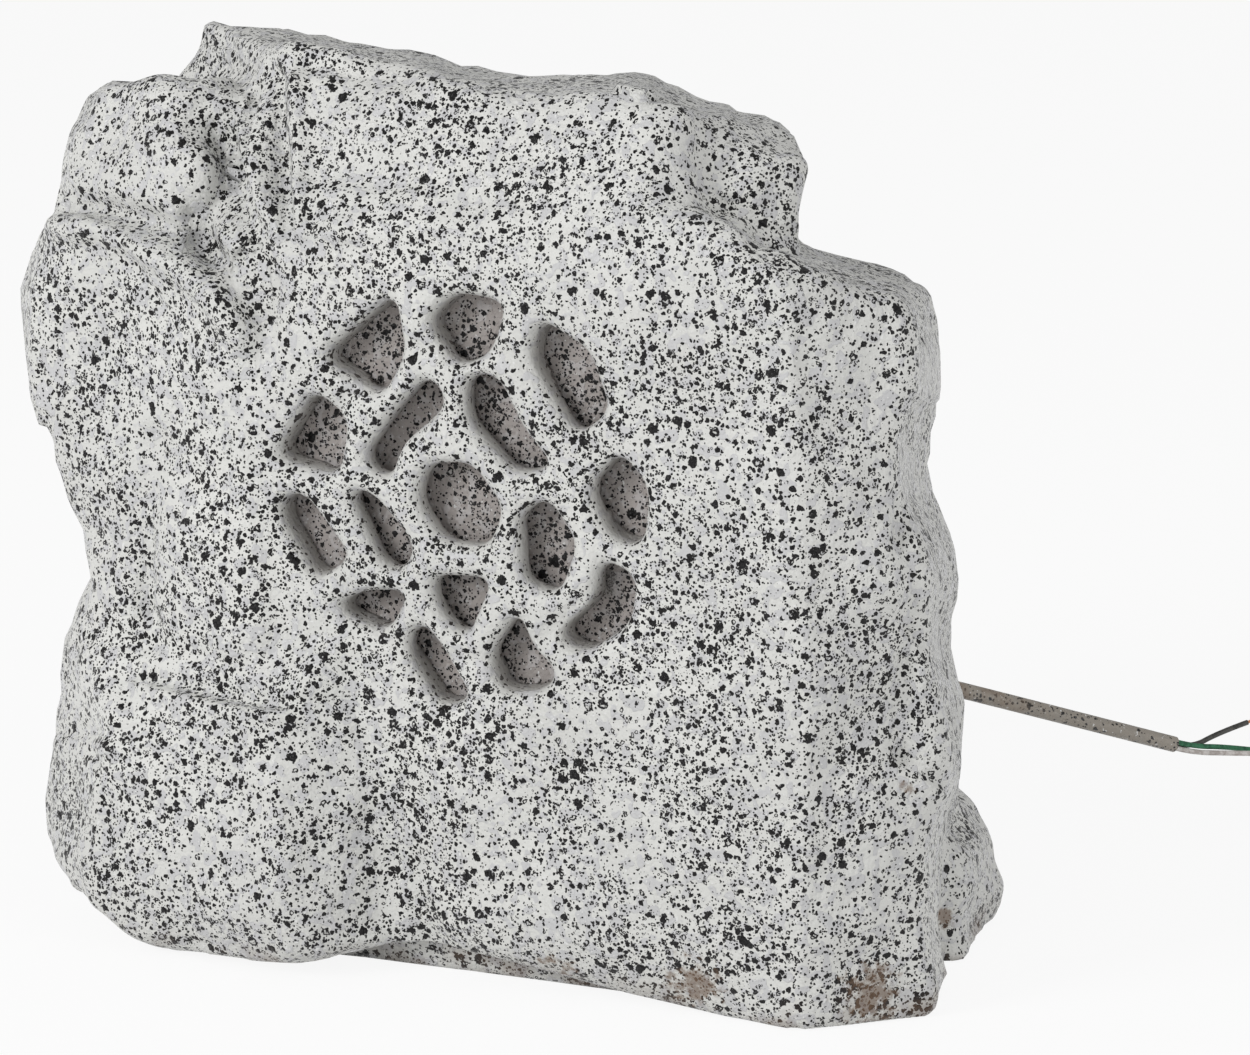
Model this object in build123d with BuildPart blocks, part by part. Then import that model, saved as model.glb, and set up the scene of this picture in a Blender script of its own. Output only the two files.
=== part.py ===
from build123d import *
import os
from math import cos, pi, radians, sin, tan

os.makedirs("parts", exist_ok=True)

# Moulded rock: the box that holds it, its wall and its worn edges
rock_width = 384.0
rock_depth = 264.0
rock_height = 342.0
face_setback = 22.0
wall = 8.0
edge_round = 10.0
valley_reach = 20.0
valley_spread = 2.0

# Grille of open cells in the rock's face
grille_x = 21.0
grille_z = 184.0
grille_depth = 15.0
cell_corner = 3.0
cell_draft = 3.0
lip_flare = 2.2
lip_depth = 2.6
lip_slope = 40.0
web_recess_reach = 58.0
web_recess_depth = 4.0

# Loudspeaker seat behind the grille, with the screen and the gasket that beds the loudspeaker
frame_sides = 8
seat_reach = 96.0
screen_reach = 79.0
screen_thickness = 1.0
gasket_width = 7.0
gasket_thickness = 8.0

# Loudspeaker: radii from its axis and depths behind the flange's front
flange_reach = 86.0
flange_thickness = 4.0
mouth_radius = 66.0
arm_count = 4
arm_start_angle = 45.0
arm_width = 14.0
arm_thickness = 9.0
hub_reach = 44.0
hub_opening = 30.0
hub_thickness = 6.0
hub_depth = 27.0
roll_outer_radius = 71.0
roll_inner_radius = 57.0
roll_height = 4.0
roll_flank = 1.5
cone_rim_radius = 60.0
cone_centre_radius = 30.0
cone_depth = 15.0
paper = 0.9
coil_radius = 13.0
coil_thickness = 0.6
coil_length = 30.0
glue_gap = 0.3
spider_reach = 34.0
cloth = 0.6
magnet_gap = 0.6
pole_plate_reach = 40.0
pole_plate_thickness = 6.0
magnet_radius = 45.0
magnet_inner_radius = 24.0
magnet_thickness = 15.0

# Terminal board on the loudspeaker's flange, with the plug that carries the cable's cores
board_width = 24.0
board_height = 10.0
board_thickness = 2.0
board_radius = 76.0
tag_spacing = 12.0
tag_width = 4.0
tag_thickness = 0.8
tag_length = 9.0
plug_width = 20.0
plug_height = 8.5
plug_length = 13.0
plug_clearance = 0.2

# Base plate, let into the underside
rim_height = 18.0
rebate_depth = 8.5
plate_thickness = 4.0
plate_clearance = 0.5
base_gasket_thickness = 1.0
ledge_width = 12.0
base_corner_cut = 8.0
base_gasket_width = 5.0
screw_count = 4
screw_shank_radius = 1.7
screw_hole_radius = 2.1
screw_head_width = 7.0
screw_head_height = 2.5
screw_bite = 6.0
pilot_clearance = 0.2
tip_room = 1.0

# Cable gland on the flat at the back right
gland_facing = 135.0
gland_reach = 148.5
gland_height = 73.0
gland_body_width = 22.0
gland_body_length = 8.0
gland_cap_width = 18.0
gland_cap_length = 8.0
gland_thread_radius = 7.5
gland_clearance = 0.15
lock_nut_width = 22.0
lock_nut_thickness = 5.0
lock_nut_seat_radius = 14.0

# Three core cable: sizes of the cable and its cores
cable_radius = 3.3
core_radius = 1.1
core_spread = 1.5
core_lead_out = 9.0
copper_radius = 0.7
copper_length = 8.0
plug_lead_out = 70.0
bend_share = 0.45

# Heights and depths that follow from the sizes above
face_y = face_setback - rock_depth / 2
plate_bottom = rebate_depth - base_gasket_thickness - plate_thickness
plate_top = plate_bottom + plate_thickness
hub_back = hub_depth + hub_thickness
top_plate_back = hub_back + pole_plate_thickness
magnet_back = top_plate_back + magnet_thickness
coil_front = cone_depth + paper
pole_radius = coil_radius - coil_thickness - magnet_gap
gland_length = gland_body_length + gland_cap_length
gland_thread_length = wall + lock_nut_thickness + tip_room
face = face_y / rock_depth
gland_flat = (
    (gland_reach * sin(radians(gland_facing)) / rock_width,
     -gland_reach * cos(radians(gland_facing)) / rock_depth, gland_height / rock_height),
    gland_facing, 0)

# Each boulder is a list of chiselled facets: a point on the facet as shares of the rock's
# width, depth and height, the way it faces seen from above (0 front, 90 right) and its lean
main_boulder = [
    ((0.0, face, 0.44), 0, 0), ((0.0, -0.408, 0.835), 0, 27), ((0.45, -0.355, 0.3), 45, 1),
    ((0.436, -0.019, 0.44), 107, 3), ((0.39, -0.265, 0.805), 125, 69),
    ((0.0, -0.21, 0.86), 180, 84), ((-0.185, -0.385, 0.8), -50, 35), gland_flat,
    ((0.0, 0.44, 0.29), 180, 12), ((-0.339, 0.34, 0.35), 222, 8),
    ((-0.417, 0.0, 0.44), 262, 4), ((-0.26, -0.37, 0.44), -28, 2)]
crown = [
    ((0.0, face, 0.44), 0, 0), ((0.0, -0.4, 0.835), -2, 27), ((0.325, -0.245, 0.877), 48, 20),
    ((0.335, -0.15, 0.877), 118, 2), ((0.0, -0.21, 0.987), 143, 82.5),
    ((0.286, -0.19, 0.955), 75, 52), ((0.0, 0.26, 0.78), 180, 32), ((-0.4, 0.03, 0.9), 262, 8),
    ((-0.265, -0.235, 0.9), -40, 22), ((-0.333, 0.19, 0.8), 225, 22), ((0.0, 0.0, 0.72), 0, -90)]
left_crown = [
    ((-0.3125, -0.335, 0.85), -16, 16), ((-0.475, -0.13, 0.85), -92, 16),
    ((-0.39, -0.07, 0.937), 190, 80), ((-0.235, -0.27, 0.87), 58, 18),
    ((-0.36, 0.06, 0.8), 195, 30), ((-0.42, -0.27, 0.85), -50, 14), ((-0.2, 0.0, 0.85), 110, 5),
    ((0.0, 0.0, 0.75), 0, -90)]
left_lobe = [
    ((-0.286, -0.38, 0.6), -14, 2), ((-0.44, -0.325, 0.62), -52, 2),
    ((-0.497, -0.2, 0.7), -95, 2), ((-0.45, -0.17, 0.5), -74, -16),
    ((-0.24, -0.394, 0.766), 11, 60), ((-0.14, -0.38, 0.66), 48, 4), ((-0.4, 0.13, 0.6), 190, 8),
    ((-0.15, 0.0, 0.5), 100, 10), ((-0.47, -0.15, 0.77), -95, 50), ((-0.36, -0.2, 0.82), 180, 70)]
left_foot = [
    ((-0.21, -0.485, 0.15), -6, 2), ((-0.36, -0.41, 0.15), -45, 4), ((-0.445, -0.15, 0.18), -84, 3),
    ((-0.03, -0.41, 0.15), 38, 4), ((-0.4, -0.38, 0.085), -55, -38),
    ((-0.23, -0.435, 0.32), -12, 40), ((-0.35, 0.26, 0.15), 215, 6), ((-0.05, 0.05, 0.15), 110, 4),
    ((0.0, 0.0, 0.4), 0, 90)]
right_foot = [
    ((0.46, 0.21, 0.06), 98, 14), ((0.42, 0.17, 0.135), 108, 60), ((0.4, -0.05, 0.06), 20, 8),
    ((0.36, 0.3, 0.06), 150, 8), ((0.2, 0.17, 0.06), 270, 0), ((0.0, 0.0, 0.2), 0, 90)]
boulders = [main_boulder, crown, left_crown, left_lobe, left_foot, right_foot]

# Valleys worn into the rock: both ends of the valley's bottom as shares of the rock's width,
# depth and height, and the way the valley faces
valleys = [
    ((-0.172, -0.394, 0.795), (-0.135, -0.422, 0.635), -15),
    ((0.021, -0.398, -0.006), (-0.01, -0.42, 0.28), 0),
    ((-0.288, -0.39, 0.6), (-0.294, -0.369, 0.365), -14),
    ((-0.2055, -0.249, 0.954), (-0.152, -0.435, 0.81), -40),
    ((0.278, -0.243, 0.935), (0.315, -0.31, 0.835), 50)]

# Underside opening: corners as shares of the rock's width and depth
base_corners = [
    (-0.3, -0.2), (-0.23, -0.33), (-0.08, -0.32), (0.36, -0.3), (0.395, -0.2),
    (0.275, 0.225), (0.155, 0.385), (-0.22, 0.385), (-0.325, 0.19)]

# Grille cells: corners from the grille's centre, across and up
grille_cells = [
    [(-55, 50), (-25, 75), (-22, 54), (-31, 38)],
    [(-12, 66), (-1, 77), (19, 75), (13, 57), (0, 51)],
    [(33, 70), (52, 60), (60, 39), (47, 29), (29, 55)],
    [(-59, 37), (-46, 28), (-49, 7), (-75, 11)],
    [(-12, 46), (-5, 37), (-24, 20), (-28, 6), (-39, 13), (-26, 31)],
    [(4, 47), (16, 48), (27, 28), (38, 17), (23, 13), (4, 31)],
    [(64, 24), (75, 12), (73, -9), (61, -8), (52, 10)],
    [(-72, -3), (-63, -2), (-45, -24), (-59, -34), (-74, -10)],
    [(-45, 1), (-36, 1), (-18, -17), (-22, -27), (-31, -26)],
    [(-13, 13), (5, 15), (18, 0), (12, -15), (-6, -15), (-17, -1)],
    [(24, -2), (36, 5), (47, -11), (40, -30), (26, -27)],
    [(-53, -44), (-40, -37), (-21, -35), (-30, -51)],
    [(-12, -28), (13, -27), (3, -50), (-8, -42)],
    [(57, -16), (70, -21), (68, -38), (50, -51), (39, -46), (54, -31)],
    [(-17, -46), (-10, -51), (5, -73), (-8, -77), (-22, -57)],
    [(24, -38), (29, -52), (39, -59), (35, -66), (17, -69), (12, -56)]]

# Planes: the rock's face, the seat behind it, and the loudspeaker's front and section
face_plane = Plane(origin=(grille_x, face_y, grille_z), x_dir=(1, 0, 0), z_dir=(0, -1, 0))
seat_plane = face_plane.offset(-grille_depth)
screen_plane = seat_plane.offset(-screen_thickness)
flange_plane = screen_plane.offset(-gasket_thickness)
section_plane = Plane(origin=flange_plane.origin, x_dir=(1, 0, 0), z_dir=(0, 0, 1))
speaker_axis = Axis(flange_plane.origin, (0, 1, 0))
flange_back = flange_plane.offset(-flange_thickness)
board_back = flange_back.offset(-board_thickness)
gland_direction = Vector(sin(radians(gland_facing)), -cos(radians(gland_facing)), 0)
gland_plane = Plane(
    origin=gland_direction * gland_reach + Vector(0, 0, gland_height),
    x_dir=Vector(0, 0, 1).cross(gland_direction), z_dir=gland_direction)
half_side = 180 / frame_sides


def facet_plane(shares, facing, lean):
    """Plane of one facet, with its normal pointing out of the rock."""
    across, back, up = shares
    flat = cos(radians(lean))
    normal = (sin(radians(facing)) * flat, -cos(radians(facing)) * flat, sin(radians(lean)))
    return Plane(origin=(across * rock_width, back * rock_depth, up * rock_height), z_dir=normal)


def chiselled(facets, inset):
    """Block left when stock is cut along each facet, moved in by the inset."""
    with BuildPart() as block:
        Box(2 * rock_width, 2 * rock_depth, 3 * rock_height)
        for shares, facing, lean in facets:
            split(bisect_by=facet_plane(shares, facing, lean).offset(-inset), keep=Keep.BOTTOM)
    return block.part


def worn(facets):
    """Boulder with its edges and corners worn round."""
    with BuildPart() as stone:
        add(chiselled(facets, edge_round))
        offset(amount=edge_round)
    return stone.part


def valley(start, end, facing):
    """Cutter for one valley, open towards the way it faces."""
    sizes = Vector(rock_width, rock_depth, rock_height)
    foot, head = [Vector(*[share * size for share, size in zip(spot, sizes)]) for spot in (start, end)]
    run = head - foot
    outward = Vector(sin(radians(facing)), -cos(radians(facing)), 0)
    with BuildPart() as cutter:
        with BuildSketch(Plane(origin=foot, x_dir=run.cross(outward), z_dir=run)):
            with BuildLine():
                Polyline((0, 0), (valley_spread * valley_reach, -valley_reach),
                         (-valley_spread * valley_reach, -valley_reach), close=True)
            make_face()
        extrude(amount=run.length)
    return cutter.part


def frame_outline(reach, mode=Mode.ADD):
    """Flat sided outline of the loudspeaker's frame, with its sides at the given reach."""
    RegularPolygon(reach, frame_sides, major_radius=False, rotation=half_side, mode=mode)


def narrowing(outline, depth, angle):
    """Cutter that narrows from an outline on the rock's face."""
    with BuildPart() as cutter:
        with BuildSketch(face_plane):
            add(outline)
        extrude(amount=-depth)
        draft(cutter.faces().filter_by(Axis.Y, reverse=True), face_plane, -angle)
    return cutter.part


def turned(profile):
    """Solid turned about the loudspeaker's axis from (radius, depth) corners."""
    with BuildPart() as piece:
        with BuildSketch(section_plane):
            with BuildLine():
                Polyline(*profile, close=True)
            make_face()
        revolve(axis=speaker_axis)
    return piece.part


def base_outline(inset):
    """Outline of the base plate, moved in by the inset."""
    with BuildSketch() as outline:
        with BuildLine():
            Polyline(*[(x * rock_width, y * rock_depth) for x, y in base_corners], close=True)
        make_face()
        chamfer(outline.vertices(), base_corner_cut)
        if inset:
            offset(amount=-inset, kind=Kind.INTERSECTION)
    return outline.sketch


def bend_radii(points):
    """Tangent arc for each corner of a cord's route."""
    radii = []
    for before, corner, after in zip(points, points[1:], points[2:]):
        run_in = Vector(corner) - Vector(before)
        run_out = Vector(after) - Vector(corner)
        turn = radians(run_in.get_angle(run_out))
        radii.append(bend_share * min(run_in.length, run_out.length) / tan(turn / 2))
    return radii


def cord(points, radius, label):
    """Round tube along straight runs joined by tangent arcs; gives the plane of its far end."""
    radii = bend_radii(points)
    with BuildPart() as tube:
        with BuildLine() as line:
            FilletPolyline(*points, radius=radii)
        route = line.wire()
        with BuildSketch(Plane(origin=route @ 0, z_dir=route % 0)):
            Circle(radius)
        sweep(path=route)
    share = tube.part.volume / (pi * radius**2 * route.length)
    print(label, "length", round(route.length, 1), "bends", [round(bend, 1) for bend in radii],
          "volume share", round(share, 4))
    tube.part.label = label
    export_step(tube.part, "parts/" + label + ".step")
    return Plane(origin=route @ 1, z_dir=route % 1)


def by_gland(out, beside, height):
    """Point so far out from the gland's flat, so far beside its line and at a height."""
    return gland_plane.from_local_coords((beside, 0, out)) + Vector(0, 0, height - gland_height)


# Middle of each long side of the base plate, where its screws go
screw_line = base_outline((ledge_width - base_gasket_width) / 2)
screw_points = [side @ 0.5 for side in screw_line.edges().sort_by(SortBy.LENGTH)[-screw_count:]]

# Hollow inside the rock: the same facets, a wall's thickness further in
with BuildPart() as hollow:
    for facets in boulders:
        add(chiselled(facets, wall))
    split(bisect_by=Plane.XY.offset(rim_height), keep=Keep.TOP)

# Open cells of the grille, each with a draft and a flared lip
with BuildPart() as cells:
    for corners in grille_cells:
        with BuildSketch() as mouth:
            with BuildLine():
                Polyline(*corners, close=True)
            make_face()
            chamfer(mouth.vertices(), cell_corner)
        with BuildSketch() as lip:
            add(mouth.sketch)
            offset(amount=lip_flare, kind=Kind.INTERSECTION)
        add(narrowing(mouth.sketch, grille_depth, cell_draft))
        add(narrowing(lip.sketch, lip_depth, lip_slope))

# Cuts in the shell: clear space behind the inner webs, screw pilots, the gland's hole and nut seat
with BuildPart() as drillings:
    with BuildSketch(seat_plane):
        frame_outline(web_recess_reach)
    extrude(amount=web_recess_depth)
    with BuildSketch(Plane.XY.offset(rebate_depth)):
        with Locations(*screw_points):
            Circle(screw_shank_radius + pilot_clearance)
    extrude(amount=screw_bite + tip_room)
    with BuildSketch(gland_plane):
        Circle(gland_thread_radius + gland_clearance)
    extrude(amount=-gland_thread_length)
    with BuildSketch(gland_plane.offset(-wall)):
        Circle(lock_nut_seat_radius)
    extrude(amount=-lock_nut_thickness - tip_room)

# Base opening with the rebate that takes the plate
with BuildPart() as base_opening:
    with BuildSketch():
        add(base_outline(-plate_clearance))
    extrude(amount=rebate_depth)
    with BuildSketch():
        add(base_outline(ledge_width))
    extrude(amount=rim_height)

# Rock shell: boulders grown together, hollowed, then opened at the grille, gland and base
with BuildPart() as rock_shell:
    for facets in boulders:
        add(worn(facets))
    split(bisect_by=Plane.XY, keep=Keep.TOP)
    for start, end, facing in valleys:
        add(valley(start, end, facing), mode=Mode.SUBTRACT)
    add(hollow.part, mode=Mode.SUBTRACT)
    with BuildSketch(seat_plane):
        frame_outline(seat_reach)
    extrude(amount=grille_depth - wall / 2)
    add(cells.part, mode=Mode.SUBTRACT)
    add([drillings.part, base_opening.part], mode=Mode.SUBTRACT)
rock_shell.part.label = "rock_shell"
export_step(rock_shell.part, "parts/rock_shell.step")

# Wire screen laid flat behind the cells
with BuildPart() as grille_screen:
    with BuildSketch(seat_plane):
        frame_outline(screen_reach)
    extrude(amount=-screen_thickness)
grille_screen.part.label = "grille_screen"
export_step(grille_screen.part, "parts/grille_screen.step")

# Sealing tape that beds the loudspeaker and keeps its roll edge clear of the screen
with BuildPart() as driver_gasket:
    with BuildSketch(screen_plane):
        frame_outline(screen_reach)
        frame_outline(screen_reach - gasket_width, Mode.SUBTRACT)
    extrude(amount=-gasket_thickness)
driver_gasket.part.label = "driver_gasket"
export_step(driver_gasket.part, "parts/driver_gasket.step")

# Cast basket: flange with a round mouth, sloping arms, and the hub for spider and magnet
with BuildPart() as driver_basket:
    with BuildSketch(flange_plane):
        frame_outline(flange_reach)
        Circle(mouth_radius, mode=Mode.SUBTRACT)
    extrude(amount=-flange_thickness)
    with BuildSketch(flange_plane.offset(-hub_depth)):
        frame_outline(hub_reach)
        frame_outline(hub_opening, Mode.SUBTRACT)
    extrude(amount=-hub_thickness)
    for number in range(arm_count):
        turn = arm_start_angle + number * 360 / arm_count
        with BuildSketch(section_plane.rotated((0, turn, 0))):
            with BuildLine():
                Polyline(
                    (mouth_radius + arm_thickness, flange_thickness / 2),
                    (mouth_radius, flange_thickness / 2),
                    (hub_reach - arm_thickness, hub_depth),
                    (hub_reach - arm_thickness, hub_back),
                    (hub_reach, hub_back), close=True)
            make_face()
        extrude(amount=arm_width / 2, both=True)
driver_basket.part.label = "driver_basket"
export_step(driver_basket.part, "parts/driver_basket.step")

# Foam roll edge, glued across the flange and the cone's rim
driver_surround = turned([
    (roll_inner_radius, 0), (roll_inner_radius + roll_flank, -roll_height),
    (roll_outer_radius - roll_flank, -roll_height), (roll_outer_radius, 0)])
driver_surround.label = "driver_surround"
export_step(driver_surround, "parts/driver_surround.step")

# Moulded cone with a closed centre
driver_cone = turned([
    (0, cone_depth), (cone_centre_radius, cone_depth), (cone_rim_radius, 0),
    (cone_rim_radius, paper), (cone_centre_radius, coil_front), (0, coil_front)])
driver_cone.label = "driver_cone"
export_step(driver_cone, "parts/driver_cone.step")

# Voice coil glued behind the cone, and the cloth spider that centres it
voice_coil = turned([
    (coil_radius - coil_thickness, coil_front), (coil_radius, coil_front),
    (coil_radius, coil_front + coil_length), (coil_radius - coil_thickness, coil_front + coil_length)])
voice_coil.label = "voice_coil"
export_step(voice_coil, "parts/voice_coil.step")
with BuildPart() as driver_spider:
    with BuildSketch(flange_plane.offset(-hub_depth)):
        frame_outline(spider_reach)
        Circle(coil_radius + glue_gap, mode=Mode.SUBTRACT)
    extrude(amount=cloth)
driver_spider.part.label = "driver_spider"
export_step(driver_spider.part, "parts/driver_spider.step")

# Magnet between its two pole plates, the rear one carrying the pole
with BuildPart() as top_plate:
    with BuildSketch(flange_plane.offset(-hub_back)):
        frame_outline(pole_plate_reach)
        Circle(coil_radius + magnet_gap, mode=Mode.SUBTRACT)
    extrude(amount=-pole_plate_thickness)
top_plate.part.label = "top_plate"
export_step(top_plate.part, "parts/top_plate.step")
ring_magnet = turned([
    (magnet_inner_radius, top_plate_back), (magnet_radius, top_plate_back),
    (magnet_radius, magnet_back), (magnet_inner_radius, magnet_back)])
ring_magnet.label = "ring_magnet"
export_step(ring_magnet, "parts/ring_magnet.step")
with BuildPart() as magnet_yoke:
    with BuildSketch(flange_plane.offset(-magnet_back)):
        frame_outline(pole_plate_reach)
    extrude(amount=-pole_plate_thickness)
    with BuildSketch(flange_plane.offset(-hub_back)):
        Circle(pole_radius)
    extrude(amount=hub_back - magnet_back)
magnet_yoke.part.label = "magnet_yoke"
export_step(magnet_yoke.part, "parts/magnet_yoke.step")

# Terminal board under the flange, its two tags, and the plug pushed over them
with BuildPart() as terminal_board:
    with BuildSketch(flange_back):
        with Locations((0, -board_radius)):
            Rectangle(board_width, board_height)
    extrude(amount=-board_thickness)
terminal_board.part.label = "terminal_board"
export_step(terminal_board.part, "parts/terminal_board.step")
tag_places = [(-tag_spacing / 2, -board_radius), (tag_spacing / 2, -board_radius)]
with BuildPart() as terminal_tags:
    with BuildSketch(board_back):
        with Locations(*tag_places):
            Rectangle(tag_width, tag_thickness)
    extrude(amount=-tag_length)
terminal_tags.part.label = "terminal_tags"
export_step(terminal_tags.part, "parts/terminal_tags.step")
with BuildPart() as terminal_plug:
    with BuildSketch(board_back):
        with Locations((0, -board_radius)):
            Rectangle(plug_width, plug_height)
    extrude(amount=-plug_length)
    with BuildSketch(board_back):
        with Locations(*tag_places):
            Rectangle(tag_width + 2 * plug_clearance, tag_thickness + 2 * plug_clearance)
    extrude(amount=-tag_length - plug_clearance, mode=Mode.SUBTRACT)
terminal_plug.part.label = "terminal_plug"
export_step(terminal_plug.part, "parts/terminal_plug.step")

# Base plate, its gasket and its screws
with BuildPart() as base_plate:
    with BuildSketch(Plane.XY.offset(plate_bottom)):
        add(base_outline(0))
        with Locations(*screw_points):
            Circle(screw_hole_radius, mode=Mode.SUBTRACT)
    extrude(amount=plate_thickness)
base_plate.part.label = "base_plate"
export_step(base_plate.part, "parts/base_plate.step")
with BuildPart() as base_gasket:
    with BuildSketch(Plane.XY.offset(plate_top)):
        add(base_outline(ledge_width - base_gasket_width))
        add(base_outline(ledge_width), mode=Mode.SUBTRACT)
    extrude(amount=base_gasket_thickness)
base_gasket.part.label = "base_gasket"
export_step(base_gasket.part, "parts/base_gasket.step")
with BuildPart() as base_screws:
    with BuildSketch(Plane.XY.offset(plate_bottom)):
        with Locations(*screw_points):
            RegularPolygon(screw_head_width / 2, 6, major_radius=False)
    extrude(amount=-screw_head_height)
    with BuildSketch(Plane.XY.offset(plate_bottom)):
        with Locations(*screw_points):
            Circle(screw_shank_radius)
    extrude(amount=plate_thickness + base_gasket_thickness + screw_bite)
base_screws.part.label = "base_screws"
export_step(base_screws.part, "parts/base_screws.step")

# Cable gland through the wall, and the nut that locks it inside
with BuildPart() as cable_gland:
    with BuildSketch(gland_plane):
        RegularPolygon(gland_body_width / 2, 6, major_radius=False)
    extrude(amount=gland_body_length)
    with BuildSketch(gland_plane.offset(gland_body_length)):
        RegularPolygon(gland_cap_width / 2, 6, major_radius=False)
    extrude(amount=gland_cap_length)
    with BuildSketch(gland_plane):
        Circle(gland_thread_radius)
    extrude(amount=-gland_thread_length)
    with BuildSketch(gland_plane.offset(gland_length)):
        Circle(cable_radius + gland_clearance)
    extrude(amount=-gland_length - gland_thread_length, mode=Mode.SUBTRACT)
cable_gland.part.label = "cable_gland"
export_step(cable_gland.part, "parts/cable_gland.step")
with BuildPart() as gland_nut:
    with BuildSketch(gland_plane.offset(-wall)):
        RegularPolygon(lock_nut_width / 2, 6, major_radius=False)
        Circle(gland_thread_radius + gland_clearance, mode=Mode.SUBTRACT)
    extrude(amount=-lock_nut_thickness)
gland_nut.part.label = "gland_nut"
export_step(gland_nut.part, "parts/gland_nut.step")

# Cable from the plug, through the gland and out to its cut end
plug_back = board_back.offset(-plug_length).from_local_coords((0, -board_radius, 0))
cable_route = [(-45, 0, gland_height), (38, 0, gland_height), (87, 0, 55), (138, 0, 37.8)]
cable_points = [plug_back, plug_back + Vector(0, plug_lead_out, 0)]
cable_points += [by_gland(*point) for point in cable_route]
cable_end = cord(cable_points, cable_radius, "cable_jacket")
cut_end = Plane(origin=cable_end.origin, x_dir=gland_plane.x_dir, z_dir=cable_end.z_dir)

# Cores that leave the cut end of the cable: where each lies in it, and the way it goes
core_routes = {
    "black_core": (0, [(161, 4.5, 40), (176, 6.5, 42.7)]),
    "green_core": (120, [(161.5, 0.5, 35), (176, 2.5, 31.8)]),
    "white_core": (240, [(161, -2.5, 33), (176, -3, 31.5)])}
core_ends = []
for label, (angle, points) in core_routes.items():
    start = cut_end.from_local_coords(
        (core_spread * cos(radians(angle)), core_spread * sin(radians(angle)), 0))
    leading = [start, start + cut_end.z_dir * core_lead_out]
    core_ends.append(cord(leading + [by_gland(*point) for point in points], core_radius, label))

# Bare copper at the tip of each core
with BuildPart() as bare_wire_ends:
    for end in core_ends:
        with BuildSketch(end):
            Circle(copper_radius)
        extrude(amount=copper_length)
bare_wire_ends.part.label = "bare_wire_ends"
export_step(bare_wire_ends.part, "parts/bare_wire_ends.step")
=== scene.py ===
# %% [markdown]
# # A garden speaker moulded as a granite boulder
#
# The real object is a hollow rock of filled resin, sprayed to look like granite. Sound leaves
# through open cells in its face, and a short cable leaves its back. The CAD parts give every
# size and place here, so the scene starts by loading them as a fixed frame.

# %% Load the frame
from math import cos, pi, radians, sin

import bmesh
import bpy
import numpy as np
from mathutils import Matrix, Vector, kdtree, noise
from mathutils.bvhtree import BVHTree


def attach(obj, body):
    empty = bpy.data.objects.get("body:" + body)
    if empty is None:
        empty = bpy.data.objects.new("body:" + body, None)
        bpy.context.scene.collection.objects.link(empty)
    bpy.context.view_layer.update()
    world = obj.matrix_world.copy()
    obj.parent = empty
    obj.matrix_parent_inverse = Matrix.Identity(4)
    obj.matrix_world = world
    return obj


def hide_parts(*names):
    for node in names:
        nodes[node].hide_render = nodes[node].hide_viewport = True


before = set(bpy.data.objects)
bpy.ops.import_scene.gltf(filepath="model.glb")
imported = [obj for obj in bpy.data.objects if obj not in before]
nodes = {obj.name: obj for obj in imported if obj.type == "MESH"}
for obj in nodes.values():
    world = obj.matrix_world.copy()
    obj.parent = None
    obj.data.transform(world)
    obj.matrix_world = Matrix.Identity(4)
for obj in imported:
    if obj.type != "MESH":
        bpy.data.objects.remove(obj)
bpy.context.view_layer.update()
MM = 0.001

# %% [markdown]
# ## Camera
#
# The picture was taken from a little to the right of the grille and slightly above it, with a
# long lens that hardly draws lines together. A camera could be fitted by eye, but here its
# angles and distance are known values, and it is turned until the rock sits where the picture
# has it.

# %% Camera at the picture's angle
PICTURE = (1250, 1055)
TARGET = Vector((0, 0, 0.190))
TARGET_PIXEL = (530, 431)
CAMERA_AZIMUTH, CAMERA_RISE, CAMERA_DISTANCE = radians(25), radians(11), 1.7
PIXEL_SIZE = 0.388 * MM
focal_pixels = CAMERA_DISTANCE / PIXEL_SIZE

back = Vector((sin(CAMERA_AZIMUTH) * cos(CAMERA_RISE),
               -cos(CAMERA_AZIMUTH) * cos(CAMERA_RISE), sin(CAMERA_RISE)))
right = Vector((0, 0, 1)).cross(back).normalized()
up = back.cross(right)
aim = (-back * focal_pixels + right * (PICTURE[0] / 2 - TARGET_PIXEL[0])
       - up * (PICTURE[1] / 2 - TARGET_PIXEL[1])).normalized()

camera_data = bpy.data.cameras.new("camera")
camera_data.sensor_width = 36
camera_data.lens = focal_pixels / PICTURE[0] * camera_data.sensor_width
camera = bpy.data.objects.new("camera", camera_data)
camera.location = TARGET + back * CAMERA_DISTANCE
camera.rotation_euler = aim.to_track_quat("-Z", "Y").to_euler()
bpy.context.scene.collection.objects.link(camera)
bpy.context.scene.camera = camera
bpy.context.view_layer.update()
print("lens", round(camera_data.lens, 1), "mm")

# %% [markdown]
# ## Cable and cores
#
# A cord is a fixed length of something flexible, so it is drawn as a smooth curve with a round
# section and not as a chain of cylinders. A quadratic curve touches the middle of each straight
# run between its points, which is the way a cable takes a bend. The cable starts at the plug on
# the loudspeaker, goes out through the gland, and is cut a hand's width from the rock, where its
# three cores part.

# %% Cords from listed points
GLAND_FACING, GLAND_REACH = radians(135), 0.1485
out_of_gland = Vector((sin(GLAND_FACING), -cos(GLAND_FACING), 0))
beside_gland = Vector((0, 0, 1)).cross(out_of_gland)
CABLE_DIAMETER, CORE_DIAMETER = 0.0066, 0.0022
CORE_SPREAD, CORE_LEAD_OUT = 0.0015, 0.009
CORD_ROUNDNESS, CORD_STEPS = 6, 16


def by_gland(out, beside, height):
    """Point so far out from the gland's flat, so far beside its line and at a height, in mm."""
    return (out_of_gland * (GLAND_REACH + out * MM) + beside_gland * beside * MM
            + Vector((0, 0, height * MM)))


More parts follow.
